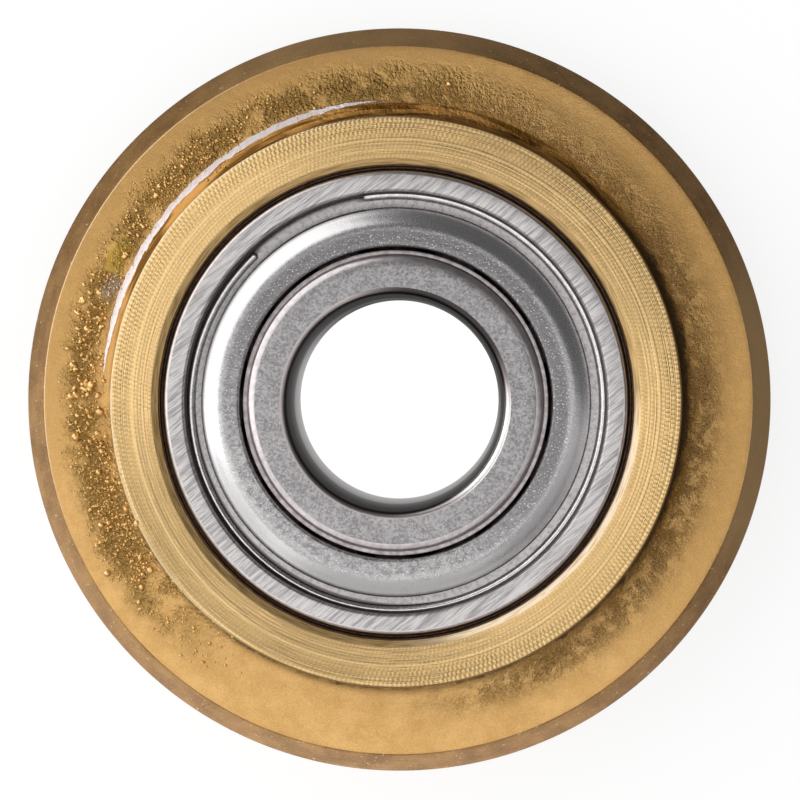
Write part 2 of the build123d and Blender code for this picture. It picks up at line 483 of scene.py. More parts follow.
def makeGroundBronze():
    s = groundBronze
    material, tree, where = startMaterial("groundBronze")
    radius, angle, height = polar(tree, where)
    along = pointAt(tree, product(tree, height, 24.0), product(tree, angle, 4.0))
    lines = noise(tree, along, 1.0, 3.0, 0.6)
    cloud = noise(tree, where, 1.1, 4.0, 0.6)
    specks = ramp(tree, noise(tree, where, 9.0, 1.0), 0.7, 0.76)
    grain = noise(tree, where, 16.0, 4.0, 0.65)
    bumps = sumOf(tree, (lines, 0.003), (specks, 0.004), (grain, 0.010))
    shade = sumOf(tree, (cloud, 0.45), (lines, 0.2), (grain, 0.35))
    color = blendColor(tree, ramp(tree, shade, 0.36, 0.62), s["dark"], s["light"])
    color = blendColor(tree, specks, color, s["speck"])
    # painted light on two arcs of the bevel
    for arc, amount in s["paintedLightArcs"]:
        paintedPatch = product(tree, arcWindow(tree, angle, arc), amount)
        color = blendColor(tree, paintedPatch, color, s["paintedLight"])
    # a painted highlight along the top of the bevel
    bevelHighlight = product(tree, window(tree, radius, s["bevelHighlightInnerR"], s["bevelHighlightOuterR"], 0.012),
                     arcWindow(tree, angle, s["bevelHighlightArc"]))
    color = blendColor(tree, bevelHighlight, color, s["bevelHighlight"])
    finishMaterial(tree, color, s["rough"], bumps, s["anisotropic"])
    return material


def shadedBelow(tree, where, color, shadeTone, lowMm, highMm):
    # painted shade below a height above the middle plane, on both sides
    height = calc(tree, "ABSOLUTE", polar(tree, where)[2])
    ragged = product(tree, total(tree, noise(tree, where, 6.0, 3.0), -0.5), 0.08)
    return blendColor(tree, ramp(tree, total(tree, height, ragged), lowMm, highMm), shadeTone, color)


def strokes(tree, where, degrees, across, along):
    # noise drawn out along straight strokes at the given angle
    turned = addNode(tree, "ShaderNodeMapping", {
        "Vector": where, "Rotation": (0, 0, math.radians(-degrees))}).outputs[0]
    return noise(tree, scaled(tree, turned, (along, across, 1.0)), 1.0, 4.0, 0.65)


groundSteel = {
    "light": (0.67, 0.645, 0.635, 1),
    "dark": (0.345, 0.325, 0.325, 1),
    # the colour of painted shade on the walls below the face
    "shadeTone": (0.18, 0.155, 0.15, 1),
    "rough": 0.36,
    "strokeDegrees": 43.0,
}


def makeGroundSteel():
    s = groundSteel
    material, tree, where = startMaterial("groundSteel")
    coarse = strokes(tree, where, s["strokeDegrees"], 13.0, 1.0)
    fine = strokes(tree, where, s["strokeDegrees"] - 7, 34.0, 1.4)
    mark = sumOf(tree, (coarse, 0.5), (fine, 0.5))
    height = sumOf(tree, (coarse, 0.014), (fine, 0.007))
    color = blendColor(tree, ramp(tree, mark, 0.4, 0.58), s["dark"], s["light"])
    # painted shade on the walls below the face
    color = shadedBelow(tree, where, color, s["shadeTone"], bearingHalf - 0.2, bearingHalf - 0.1)
    finishMaterial(tree, color, s["rough"], height)
    return material


matteSteel = {"light": (0.49, 0.47, 0.475, 1), "dark": (0.25, 0.237, 0.24, 1), "rough": 0.36}


def makeMatteSteel():
    s = matteSteel
    material, tree, where = startMaterial("matteSteel")
    fine = noise(tree, where, 15.0, 4.0, 0.7)
    cloud = noise(tree, where, 2.0, 3.0)
    height = sumOf(tree, (fine, 0.012), (cloud, 0.008))
    mark = sumOf(tree, (fine, 0.8), (cloud, 0.2))
    color = blendColor(tree, ramp(tree, mark, 0.38, 0.62), s["dark"], s["light"])
    finishMaterial(tree, color, s["rough"], height)
    return material


pressedSteel = {
    "dome": (0.82, 0.80, 0.80, 1),
    "domeShade": (0.56, 0.54, 0.54, 1),
    "domeShadeArc": (280.0, 55.0, 25.0),
    "light": (0.52, 0.50, 0.50, 1),
    "dark": (0.21, 0.20, 0.205, 1),
    # painted shade on the pebbled flat along one arc
    "pebbleShadeArc": (60.0, 115.0, 35.0),
    "paintedGlint": (0.85, 0.84, 0.85, 1),
    "flange": (0.42, 0.395, 0.395, 1),
    "flangeDark": (0.30, 0.28, 0.28, 1),
    "flangeR": 5.4,
    # painted shade behind the wire ring, reaching further in on one arc
    "shadeTone": (0.10, 0.085, 0.08, 1),
    "wireShadeR": 5.62,
    "wireShadeWideArc": (225.0, 40.0, 20.0),
    # half the arc without painted shade where a wire is open, and the softness of its ends
    "unshadedArc": (16.0, 2.0),
    "rough": 0.27,
    "pebbleR": 4.88,
}


def makePressedSteel():
    # pebbled on the flat by the lip, smooth over the crown
    s = pressedSteel
    material, tree, where = startMaterial("pressedSteel")
    radius, angle, _ = polar(tree, where)
    pebbles = noise(tree, where, 7.5, 4.0, 0.7)
    pebbled = ramp(tree, radius, s["pebbleR"] - 0.2, s["pebbleR"] + 0.15, 1.0, 0.08)
    waves = ramp(tree, radius, 5.1, 5.25, 0.006, 0.0)
    height = sumOf(tree, (pebbles, pebbled, 0.018), (noise(tree, where, 2.2, 2.0), waves))
    # painted shade on one arc of the pebbled flat
    pebbleShade = total(tree, 1.0, product(tree, arcWindow(tree, angle, s["pebbleShadeArc"]), -0.85))
    shade = product(tree, ramp(tree, pebbles, 0.3, 0.68), pebbleShade)
    color = blendColor(tree, shade, s["dark"], s["light"])
    # painted glints on the pebbles
    paintedGlints = ramp(tree, noise(tree, where, 20.0, 3.0, 0.6), 0.58, 0.66, 0.0, 0.8)
    color = blendColor(tree, paintedGlints, color, s["paintedGlint"])
    dome = blendColor(tree, arcWindow(tree, angle, s["domeShadeArc"]), s["dome"], s["domeShade"])
    color = blendColor(tree, pebbled, dome, color)
    flange = blendColor(tree, ramp(tree, pebbles, 0.3, 0.6), s["flangeDark"], s["flange"])
    color = blendColor(tree, ramp(tree, radius, s["flangeR"], s["flangeR"] + 0.03), color, flange)
    # painted shade behind the wire ring, left out where a wire is open
    opened = eitherArc(tree, angle, [
        (bearing[name], *s["unshadedArc"]) for name in ("frontOpening", "rearOpening")])
    reach = total(tree, radius, product(tree, arcWindow(tree, angle, s["wireShadeWideArc"]), 0.09))
    wireShade = product(tree, ramp(tree, reach, s["wireShadeR"], s["wireShadeR"] + 0.08), inverse(tree, opened))
    color = blendColor(tree, wireShade, color, s["shadeTone"])
    rough = ramp(tree, product(tree, pebbles, pebbled), 0.2, 0.65, s["rough"], s["rough"] + 0.12)
    finishMaterial(tree, color, rough, height)
    return material


boreSteel = {
    "light": (0.80, 0.76, 0.75, 1),
    "dark": (0.13, 0.115, 0.11, 1),
    "corner": (0.42, 0.38, 0.37, 1),
    "cornerShade": (0.06, 0.05, 0.05, 1),
    "cornerShadeArc": (58.0, 42.0, 18.0),
    "cornerBright": (0.95, 0.92, 0.90, 1),
    "cornerBrightArc": (335.0, 22.0, 18.0),
    "rough": 0.3,
    "paintedLightBelow": -0.25,
}


def makeBoreSteel():
    # painted light in its lower half, and on the rounding at its mouth painted shade on one arc and a
    # painted highlight on another
    s = boreSteel
    material, tree, where = startMaterial("boreSteel")
    _, angle, height = polar(tree, where)
    speckle = noise(tree, where, 14.0, 3.0, 0.6)
    place = total(tree, height, product(tree, speckle, 0.5))
    deep = ramp(tree, place, s["paintedLightBelow"], s["paintedLightBelow"] + 0.6)
    color = blendColor(tree, deep, s["light"], s["dark"])
    mouth = ramp(tree, height, bearingHalf - 0.06, bearingHalf - 0.02)
    color = blendColor(tree, mouth, color, s["corner"])
    rounding = ramp(tree, height, bearingHalf - 0.26, bearingHalf - 0.18)
    # painted shade on one arc of the rounding and a painted highlight on another
    for tint in ("cornerShade", "cornerBright"):
        paintedPatch = product(tree, rounding, arcWindow(tree, angle, s[tint + "Arc"]))
        color = blendColor(tree, paintedPatch, color, s[tint])
    finishMaterial(tree, color, s["rough"], product(tree, speckle, 0.004))
    return material


# metals that only vary a little: light, dark, roughness, scale, and painted shade between two heights
plainMetals = {
    # a dark colour painted as shade in the slit beside the bearing
    "seatShade": ((0.18, 0.105, 0.065, 1), (0.06, 0.04, 0.03, 1), 0.45, 9.0, None),
    "grainGold": ((0.99, 0.72, 0.34, 1), (0.85, 0.56, 0.22, 1), 0.36, 8.0, None),
    "tumbledSteel": ((0.74, 0.68, 0.68, 1), (0.58, 0.53, 0.53, 1), 0.3, 6.0,
                     (bearingHalf - 0.36, bearingHalf - 0.22)),
    "springWire": ((0.80, 0.77, 0.77, 1), (0.62, 0.60, 0.60, 1), 0.26, 6.0,
                   (wireTopZ - 0.24, wireTopZ - 0.13)),
    "polishedBall": ((0.80, 0.80, 0.82, 1), (0.72, 0.72, 0.74, 1), 0.06, 2.0, None),
    "cageSheet": ((0.20, 0.17, 0.15, 1), (0.11, 0.09, 0.08, 1), 0.4, 6.0, None),
}


def makePlainMetal(name):
    light, dark, rough, scale, shadeHeights = plainMetals[name]
    material, tree, where = startMaterial(name)
    cloud = noise(tree, where, scale, 3.0, 0.6)
    color = blendColor(tree, ramp(tree, cloud, 0.3, 0.7), dark, light)
    if shadeHeights:
        color = shadedBelow(tree, where, color, groundSteel["shadeTone"], *shadeHeights)
    finishMaterial(tree, color, rough, product(tree, cloud, 0.005))
    return material


# Turned shapes

outline = {
    # the coarsest steps along a rounding
    "stepDegrees": 24.0,
    "stepMm": 0.07,
    # longer than any run, which leaves it undivided
    "undivided": 9.0,
    "sharpDegrees": 32.0,
}


def roundedOutline(corners):
    # corners are (r, z, rounding, spacing, zone): spacing and zone are of the run that follows
    points = []
    zones = []
    count = len(corners)
    for i in range(count):
        r, z, rounding, spacing, zone = corners[i]
        here = Vector((r, z))
        toPrev = Vector(corners[i - 1][:2]) - here
        following = corners[(i + 1) % count]
        toNext = Vector(following[:2]) - here
        first, last = here, here
        if rounding > 0:
            turn = math.pi - toPrev.angle(toNext)
            reach = rounding * math.tan(turn / 2)
            first = here + toPrev.normalized() * reach
            last = here + toNext.normalized() * reach
            middle = here + (toPrev.normalized() + toNext.normalized()).normalized() * (
                rounding / math.cos(turn / 2))
            steps = max(2, math.ceil(turn / math.radians(outline["stepDegrees"])),
                        math.ceil(turn * rounding / outline["stepMm"]))
            for step in range(steps):
                spoke = (first - middle).slerp(last - middle, step / steps)
                points.append(middle + spoke * rounding)
                zones.append(zone)
        points.append(last)
        zones.append(zone)
        nextReach = 0.0
        if following[2] > 0:
            beyond = Vector(corners[(i + 2) % count][:2]) - Vector(following[:2])
            nextTurn = math.pi - (-toNext).angle(beyond)
            nextReach = following[2] * math.tan(nextTurn / 2)
        length = toNext.length - (last - here).length - nextReach
        pieces = max(1, math.ceil(length / spacing - 0.01))
        for piece in range(1, pieces):
            points.append(last + toNext.normalized() * (length * piece / pieces))
            zones.append(zone)
    return points, zones


def bothSides(upper, boreZone=0):
    # the upper half's corners run outwards, and the lower half repeats them inwards
    lower = []
    undivided = outline["undivided"]
    for i in range(len(upper) - 1, 0, -1):
        r, z, rounding = upper[i][:3]
        lower.append((r, -z, rounding, *upper[i - 1][3:]))
    r, z, rounding = upper[0][:3]
    lower.append((r, -z, rounding, undivided, boreZone))
    return upper[:-1] + [(*upper[-1][:3], undivided, upper[-1][4])] + lower


def turnedMesh(name, corners, segments):
    points, zones = roundedOutline(corners)
    radii, heights = np.array([(p.x, p.y) for p in points]).T
    angles = np.arange(segments) * (math.tau / segments)
    rows = len(points)
    co = np.empty((segments, rows, 3))
    co[:, :, 0] = np.cos(angles)[:, None] * radii
    co[:, :, 1] = np.sin(angles)[:, None] * radii
    co[:, :, 2] = heights
    # the sign of the outline's area says which way its faces look
    area = np.sum(radii * np.roll(heights, -1) - np.roll(radii, -1) * heights)
    j, i = np.meshgrid(np.arange(segments), np.arange(rows), indexing="ij")
    nextJ, nextI = (j + 1) % segments, (i + 1) % rows
    loop = [j * rows + i, nextJ * rows + i, nextJ * rows + nextI, j * rows + nextI]
    if area < 0:
        loop.reverse()
    faces = np.stack(loop, -1).reshape(-1, 4)
    mesh = bpy.data.meshes.new(name)
    mesh.from_pydata((co.reshape(-1, 3) * mm).tolist(), [], faces.tolist())
    mesh.polygons.foreach_set("material_index", np.tile(np.array(zones), segments))
    mesh.set_sharp_from_angle(angle=math.radians(outline["sharpDegrees"]))
    return addObject(name, mesh)


def settle(obj, node, materials=()):
    for material in materials:
        obj.data.materials.append(material)
    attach(obj, body_of(frame["nodes"][node])[0])
    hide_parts(node)


def evaluatedMesh(obj):
    bpy.context.view_layer.update()
    view = bpy.context.evaluated_depsgraph_get()
    return bpy.data.meshes.new_from_object(obj.evaluated_get(view))


def applyModifiers(obj):
    result = evaluatedMesh(obj)
    obj.modifiers.clear()
    obj.data = result


def applyWeighted(obj):
    # with normals that leave flat faces flat
    weighted = obj.modifiers.new("normals", "WEIGHTED_NORMAL")
    weighted.keep_sharp = True
    applyModifiers(obj)


# Cutting wheel

wheel = {
    "segments": 640,
    "slitWidth": 0.05,
    "slitDepth": 0.5,
    "stepWidth": 0.08,
    "stepDepth": 0.26,
    "seatWidth": 0.26,
    "seatDepth": 0.1,
    "hubR": 7.9,
    "edgeBreak": 0.06,
    "rootHalf": 1.2,
    "rootRadius": 0.6,
    "grainOuterR": 9.6,
    "grainOuterHalf": 0.967,
    "flankR": 8.9,
    "flankHalf": 1.028,
    "flankRadius": 4.0,
    "bevelR": 10.08,
    "bevelHalf": 0.95,
    "landHalf": 0.03,
    "bevelEdge": 0.06,
    "softEdge": 0.02,
    "grainSize": 0.17,
    "grainHeight": 0.035,
    "waveHeight": 0.02,
    "waveInset": 0.2,
    "seed": 4.0,
    # in the order of the outline's zones
    # the slit's zone takes a dark colour as painted shade
    "finishes": ("Turned", "Sintered", "Ground", "SlitShade", "Seat"),
}


def wheelCorners():
    w = wheel
    return bothSides([
        (bearingR, hubHalf - w["slitDepth"], 0.0, 0.15, 3),
        (bearingR + w["slitWidth"], hubHalf - w["slitDepth"], 0.0, 0.15, 3),
        (bearingR + w["slitWidth"], hubHalf - w["stepDepth"], w["softEdge"], 0.15, 3),
        (bearingR + w["stepWidth"], hubHalf - w["stepDepth"], 0.0, 0.15, 4),
        (bearingR + w["stepWidth"], hubHalf - w["seatDepth"], w["softEdge"], 0.1, 4),
        (bearingR + w["seatWidth"], hubHalf, w["softEdge"], 0.4, 0),
        (w["hubR"], hubHalf, w["edgeBreak"], 0.1, 0),
        (w["hubR"], w["rootHalf"], w["rootRadius"], 0.075, 1),
        (w["flankR"], w["flankHalf"], w["flankRadius"], 0.075, 1),
        (w["grainOuterR"], w["grainOuterHalf"], w["flankRadius"], 0.12, 1),
        (w["bevelR"], w["bevelHalf"], w["bevelEdge"], 0.3, 2),
        (rimR, w["landHalf"], 0.01, 0.1, 2),
    ])


def startTree(name, inputs):
    # a geometry tree whose inputs beside the geometry are given as names with their kinds
    tree = bpy.data.node_groups.new(name, "GeometryNodeTree")
    tree.interface.new_socket("Geometry", in_out="INPUT", socket_type="NodeSocketGeometry")
    for label, kind in inputs.items():
        tree.interface.new_socket(label, in_out="INPUT", socket_type="NodeSocket" + kind)
    tree.interface.new_socket("Geometry", in_out="OUTPUT", socket_type="NodeSocketGeometry")
    given = addNode(tree, "NodeGroupInput").outputs
    place = addNode(tree, "GeometryNodeInputPosition").outputs[0]
    return tree, given, scaled(tree, place, (1 / mm, 1 / mm, 1 / mm))


def sinteredTree():
    # raises grains along the surface between two radii
    sizes = ("Grain Size", "Grain Height", "Wave Height", "Inner Radius", "Outer Radius", "Seed")
    tree, given, where = startTree(
        "sinteredFlank", dict.fromkeys(sizes, "Float") | dict.fromkeys(wheel["finishes"], "Material"))
    radius, angle, _ = polar(tree, where)
    shift = addNode(tree, "ShaderNodeVectorMath", operation="ADD")
    feed(tree, shift.inputs[0], where)
    feed(tree, shift.inputs[1], given["Seed"])
    shifted = shift.outputs[0]
    lumps = cells(tree, shifted, calc(tree, "DIVIDE", 1.0, given["Grain Size"]), "SMOOTH_F1")
    crust = product(tree, crustMask(tree, radius, angle, where),
                    calc(tree, "SUBTRACT", 0.6, lumps), given["Grain Height"])
    band = window(tree, radius, given["Inner Radius"], given["Outer Radius"], 0.15)
    swell = noise(tree, shifted, 1.3, 3.0, 0.55)
    wave = product(tree, calc(tree, "SUBTRACT", swell, 0.5), band, given["Wave Height"])
    lift = product(tree, calc(tree, "ADD", crust, wave), mm)
    push = addNode(tree, "ShaderNodeVectorMath", operation="SCALE")
    feed(tree, push.inputs[0], addNode(tree, "GeometryNodeInputNormal").outputs[0])
    feed(tree, push.inputs["Scale"], lift)
    moved = addNode(tree, "GeometryNodeSetPosition",
                    {"Geometry": given["Geometry"], "Offset": push.outputs[0]}).outputs[0]
    solid = addNode(tree, "GeometryNodeRealizeInstances", {"Geometry": moved}).outputs[0]
    zone = addNode(tree, "GeometryNodeInputMaterialIndex").outputs[0]
    for index, name in enumerate(wheel["finishes"]):
        picked = addNode(tree, "FunctionNodeCompare", data_type="INT", operation="EQUAL")
        feed(tree, picked.inputs[2], zone)
        picked.inputs[3].default_value = index
        solid = addNode(tree, "GeometryNodeSetMaterial", {
            "Geometry": solid, "Selection": picked.outputs[0], "Material": given[name]}).outputs[0]
    tree.links.new(solid, addNode(tree, "NodeGroupOutput").inputs[0])
    return tree


def addTree(obj, tree, values):
    modifier = obj.modifiers.new(tree.name, "NODES")
    modifier.node_group = tree
    for item in tree.interface.items_tree:
        if item.in_out == "INPUT" and item.name in values:
            modifier[item.identifier] = values[item.name]


def makeCuttingWheel():
    w = wheel
    obj = turnedMesh("cuttingWheel", wheelCorners(), w["segments"])
    materials = [makeTurnedGold(), makeSinteredGold(), makeGroundBronze(),
                 makePlainMetal("seatShade"), makeSeatGold()]
    for material in materials:
        obj.data.materials.append(material)
    addTree(obj, sinteredTree(), dict(zip(w["finishes"], materials)) | {
        "Grain Size": w["grainSize"],
        "Grain Height": w["grainHeight"],
        "Wave Height": w["waveHeight"],
        "Inner Radius": w["hubR"] + w["waveInset"],
        "Outer Radius": w["grainOuterR"] - w["waveInset"],
        "Seed": w["seed"],
    })
    applyWeighted(obj)
    settle(obj, "cutting_wheel")
    return obj


crustGrains = {
    "finePerMm2": 150.0,
    "fineR": (0.018, 0.05),
    "nodulesPerMm2": 16.0,
    "noduleR": (0.04, 0.10),
    "noduleArc": (173.0, 15.0, 6.0),
    # there are fewer grains where the crust begins, at these angles on both sides of +X
    "fewer": (98.0, 132.0),
    "stretch": (0.6, 1.5),
    "seed": 7,
}


def anyVector(tree, low, high, seed):
    made = addNode(tree, "FunctionNodeRandomValue", {"Seed": seed}, data_type="FLOAT_VECTOR")
    made.inputs[0].default_value = (low, low, low)
    made.inputs[1].default_value = (high, high, high)
    return made.outputs[0]


def grainTree():
    # strews grains over the crust of the mesh that it is given
    g = crustGrains
    sizes = ("Fine Density", "Fine Smallest", "Fine Largest",
             "Nodule Density", "Nodule Smallest", "Nodule Largest")
    tree, given, where = startTree(
        "crustGrains", dict.fromkeys(sizes, "Float") | {"Seed": "Int", "Material": "Material"})
    radius, angle, _ = polar(tree, where)
    crust = crustMask(tree, radius, angle, where)
    thick = ramp(tree, noise(tree, where, 2.4, 3.0, 0.6), 0.34, 0.6, 0.25, 1.0)
    start, end = map(math.radians, g["fewer"])
    early = ramp(tree, calc(tree, "ABSOLUTE", angle), start, end, 0.1, 1.0)
    coarse = total(tree, arcWindow(tree, angle, g["noduleArc"]), 0.3)
    join = addNode(tree, "GeometryNodeJoinGeometry")
    for kind, divisions, amount, steep in (
            ("Fine", 1, product(tree, crust, thick, early), 2.0),
            ("Nodule", 2, product(tree, crust, coarse, early), 1.6)):
        spread = addNode(tree, "GeometryNodeDistributePointsOnFaces", {
            "Mesh": given["Geometry"], "Seed": given["Seed"],
            "Density": product(tree, amount, given[kind + " Density"], 1 / mm ** 2)})
        chance = addNode(tree, "FunctionNodeRandomValue", {"Seed": given["Seed"]}).outputs["Value"]
        share = calc(tree, "POWER", chance, steep)
        smallest = given[kind + " Smallest"]
        extra = calc(tree, "SUBTRACT", given[kind + " Largest"], smallest)
        size = total(tree, smallest, product(tree, extra, share))
        # each one is stretched and turned its own way
        stretch = addNode(tree, "ShaderNodeVectorMath", operation="SCALE")
        feed(tree, stretch.inputs[0], anyVector(tree, *g["stretch"], given["Seed"]))
        feed(tree, stretch.inputs["Scale"], size)
        ball = addNode(tree, "GeometryNodeMeshIcoSphere", {"Radius": mm, "Subdivisions": divisions})
        strewn = addNode(tree, "GeometryNodeInstanceOnPoints", {
            "Points": spread.outputs["Points"], "Instance": ball.outputs["Mesh"],
            "Rotation": anyVector(tree, 0.0, math.tau, given["Seed"]), "Scale": stretch.outputs[0]})
        tree.links.new(strewn.outputs["Instances"], join.inputs[0])
    solid = addNode(tree, "GeometryNodeRealizeInstances", {"Geometry": join.outputs[0]}).outputs[0]
    smooth = addNode(tree, "GeometryNodeSetShadeSmooth", {"Geometry": solid}).outputs[0]
    dressed = addNode(tree, "GeometryNodeSetMaterial", {
        "Geometry": smooth, "Material": given["Material"]})
    tree.links.new(dressed.outputs[0], addNode(tree, "NodeGroupOutput").inputs[0])
    return tree


def makeCrustGrains(base):
    g = crustGrains
    mesh = base.data.copy()
    mesh.materials.clear()
    obj = addObject("crustGrains", mesh)
    addTree(obj, grainTree(), {
        "Fine Density": g["finePerMm2"],
        "Fine Smallest": g["fineR"][0],
        "Fine Largest": g["fineR"][1],
        "Nodule Density": g["nodulesPerMm2"],
        "Nodule Smallest": g["noduleR"][0],
        "Nodule Largest": g["noduleR"][1],
        "Seed": g["seed"],
        "Material": makePlainMetal("grainGold"),
    })
    applyModifiers(obj)
    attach(obj, body_of(frame["nodes"]["cutting_wheel"])[0])
    print(len(obj.data.polygons), "faces of crust grains")


makeCrustGrains(makeCuttingWheel())
print("cutting wheel done")


# Bearing rings, shields and wire rings

bearing = {
    "segments": 512,
    "boreCorner": 0.18,
    "softEdge": 0.02,
    "outerEdge": 0.11,
    "outerEdgeRun": 0.14,
    "outerEdgeDepth": 0.5,
    "innerEdge": 0.1,
    "innerEdgeStartR": 3.885,
    "innerEdgeRun": 0.07,
    "innerEdgeDrop": 0.078,
    "innerEdgeDepth": 0.3,
    "ledgeWidth": 0.11,
    "ledgeHeight": 0.75,
    "recessR": 5.84,
    "recessEdge": 0.08,
    "outerShoulderR": 5.4,
    "raceRadius": 1.032,
    "outerRaceMiddleR": 4.720,
    "innerRaceMiddleR": 4.780,
    "raceHeights": (0.08, 0.25, 0.42, 0.58, 0.7),
    "sheet": 0.2,
    "crownR": 4.92,
    "crownDrop": 0.015,
    "crownRadius": 0.6,
    "brinkR": 5.39,
    "brinkDrop": 0.22,
    "brinkRadius": 0.05,
    "footR": 5.415,
    "footRadius": 0.03,
    "lipGap": 0.08,
    "lipRadius": 0.1,
    "openingDegrees": 34.0,
    "frontOpening": 116.0,
    "rearOpening": 296.0,
    "wirePlay": 0.02,
    "wireR": 0.105,
    "wireSteps": 240,
    "wireBend": 0.11,
    "wireBendDegrees": 120.0,
}


def raceCorners(middleR, shoulderR, outward):
    # half of a raceway's arc, from its bottom to the shoulder of the ring
    reach = bearing["raceRadius"]
    shoulderZ = math.sqrt(reach ** 2 - (shoulderR - middleR) ** 2)
    places = [(middleR + outward * math.sqrt(reach ** 2 - z ** 2), z) for z in bearing["raceHeights"]]
    return [(r, z, 0.0, 0.9, 0) for r, z in places + [(shoulderR, shoulderZ)]]


def makeOuterRing(materials):
    b = bearing
    grooveR = wireOuterR + b["wirePlay"]
    grooveTop = wireTopZ + b["wirePlay"]
    wireFoot = wireTopZ - 2 * wireR
    race = raceCorners(b["outerRaceMiddleR"], b["outerShoulderR"], 1)
    corners = bothSides(race + [
        (b["outerShoulderR"], shieldBackZ, b["softEdge"], 0.4, 0),
        (b["recessR"], shieldBackZ, 0.0, 0.4, 0),
        (b["recessR"], wireFoot, 0.0, 0.4, 0),
        (grooveR, wireFoot, 0.0, 0.4, 0),
        (grooveR, grooveTop, 0.0, 0.4, 0),
        (b["recessR"], grooveTop, b["softEdge"] / 2, 0.4, 0),
        (b["recessR"], bearingHalf, b["recessEdge"], 0.2, 0),
        (bearingR - b["outerEdgeRun"], bearingHalf, b["outerEdge"], 0.2, 1),
        (bearingR, bearingHalf - b["outerEdgeDepth"], b["softEdge"], 0.9, 0),
    ])
    obj = turnedMesh("outerRing", corners, b["segments"])
    applyWeighted(obj)
    settle(obj, "outer_ring", materials)


def makeInnerRing(materials):
    b = bearing
    shoulderR = ledgeR - b["ledgeWidth"]
    ledgeZ = bearingHalf - b["innerEdgeDepth"]
    race = raceCorners(b["innerRaceMiddleR"], shoulderR, -1)
    corners = bothSides([
        (boreR, bearingHalf, b["boreCorner"], 0.2, 2),
        (boreR + 0.19, bearingHalf, 0.0, 0.2, 0),
        (b["innerEdgeStartR"], bearingHalf, 0.0, 0.2, 1),
        (shoulderR - b["innerEdgeRun"], bearingHalf - b["innerEdgeDrop"], b["innerEdge"], 0.2, 1),
        (shoulderR, ledgeZ, 0.0, 0.2, 1),
        (ledgeR, ledgeZ, 0.03, 0.2, 1),
        (ledgeR, ledgeZ - b["ledgeHeight"], b["softEdge"], 0.2, 1),
        (shoulderR, ledgeZ - b["ledgeHeight"], b["softEdge"], 0.4, 1),
    ] + race[::-1], 2)
    obj = turnedMesh("innerRing", corners, b["segments"])
    applyWeighted(obj)
    settle(obj, "inner_ring", materials)


def makeShield(node, side, material):
    b = bearing
    flangeZ = shieldBackZ + b["sheet"]
    lipR = ledgeR + b["lipGap"]
    crownZ = shieldFaceZ - b["crownDrop"]
    corners = [
        (shieldRimR, flangeZ, 0.02, 0.2, 0),
        (b["footR"], flangeZ, b["footRadius"], 0.1, 0),
        (b["brinkR"], shieldFaceZ - b["brinkDrop"], b["brinkRadius"], 0.1, 0),
        (b["crownR"], crownZ, b["crownRadius"], 0.1, 0),
        (lipR, shieldFaceZ, b["lipRadius"], 0.1, 0),
        (lipR, shieldFaceZ - b["sheet"], 0.02, 0.2, 0),
        (b["crownR"] - 0.05, crownZ - b["sheet"], b["crownRadius"] / 2, 0.2, 0),
        (b["footR"] - 0.2, shieldBackZ, 0.1, 0.2, 0),
        (shieldRimR, shieldBackZ, 0.02, 0.1, 0),
    ]
    corners = [(r, z * side, rounding, spacing, zone) for r, z, rounding, spacing, zone in corners]
    obj = turnedMesh(node.replace("_s", "S"), corners, b["segments"])
    applyWeighted(obj)
    settle(obj, node, [material])


def makeWireRing(node, side, openingMiddle, material):
    b = bearing
    curve = bpy.data.curves.new(node, "CURVE")
    curve.dimensions = "3D"
    curve.bevel_depth = b["wireR"] * mm
    curve.bevel_resolution = 6
    curve.use_fill_caps = True
    spline = curve.splines.new("POLY")
    pathR = wireOuterR - b["wireR"]
    half = b["openingDegrees"] / 2
    sweep = 360 - 2 * half
    tip = math.degrees(b["wireR"] / pathR)
    tipArcs = [tip * (1 - math.cos(math.radians(step))) for step in range(4, 90, 14)]
    arcs = [*tipArcs, *np.linspace(tip, sweep - tip, b["wireSteps"]),
            *(sweep - arc for arc in reversed(tipArcs))]
    z = (wireTopZ - 2 * wireR + b["wireR"]) * side * mm
    spline.points.add(len(arcs) - 1)
    for point, arc in zip(spline.points, arcs):
        turn = math.radians(openingMiddle + half + arc)
        # the first end springs inwards a little
        bend = b["wireBend"] * max(0.0, 1 - arc / b["wireBendDegrees"])
        r = (pathR - bend) * mm
        point.co = (r * math.cos(turn), r * math.sin(turn), z, 1)
        # both ends are rounded off
        ahead = min(1.0, arc / tip, (sweep - arc) / tip)
        point.radius = math.sqrt(1 - (1 - ahead) ** 2)
    holder = addObject(node, curve)
    mesh = evaluatedMesh(holder)
    bpy.data.objects.remove(holder)
    mesh.materials.clear()
    mesh.shade_smooth()
    obj = addObject(node.replace("_snap_r", "SnapR"), mesh)
    settle(obj, node, [material])


tumbledMaterial = makePlainMetal("tumbledSteel")
makeOuterRing([makeGroundSteel(), tumbledMaterial])
makeInnerRing([makeMatteSteel(), tumbledMaterial, makeBoreSteel()])
shieldMaterial = makePressedSteel()
wireMaterial = makePlainMetal("springWire")
for prefix, side, opening in (("front", 1, "frontOpening"), ("rear", -1, "rearOpening")):
    makeShield(prefix + "_shield", side, shieldMaterial)
    makeWireRing(prefix + "_snap_ring", side, bearing[opening], wireMaterial)
print("bearing done")

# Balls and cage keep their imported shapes

ballMaterial = makePlainMetal("polishedBall")
cageMaterial = makePlainMetal("cageSheet")
for name, node in frame["nodes"].items():
    if name.startswith(("ball_", "cage_")):
        node.data.materials.clear()
        node.data.materials.append(ballMaterial if name.startswith("ball_") else cageMaterial)
print("balls and cage dressed")


# Studio

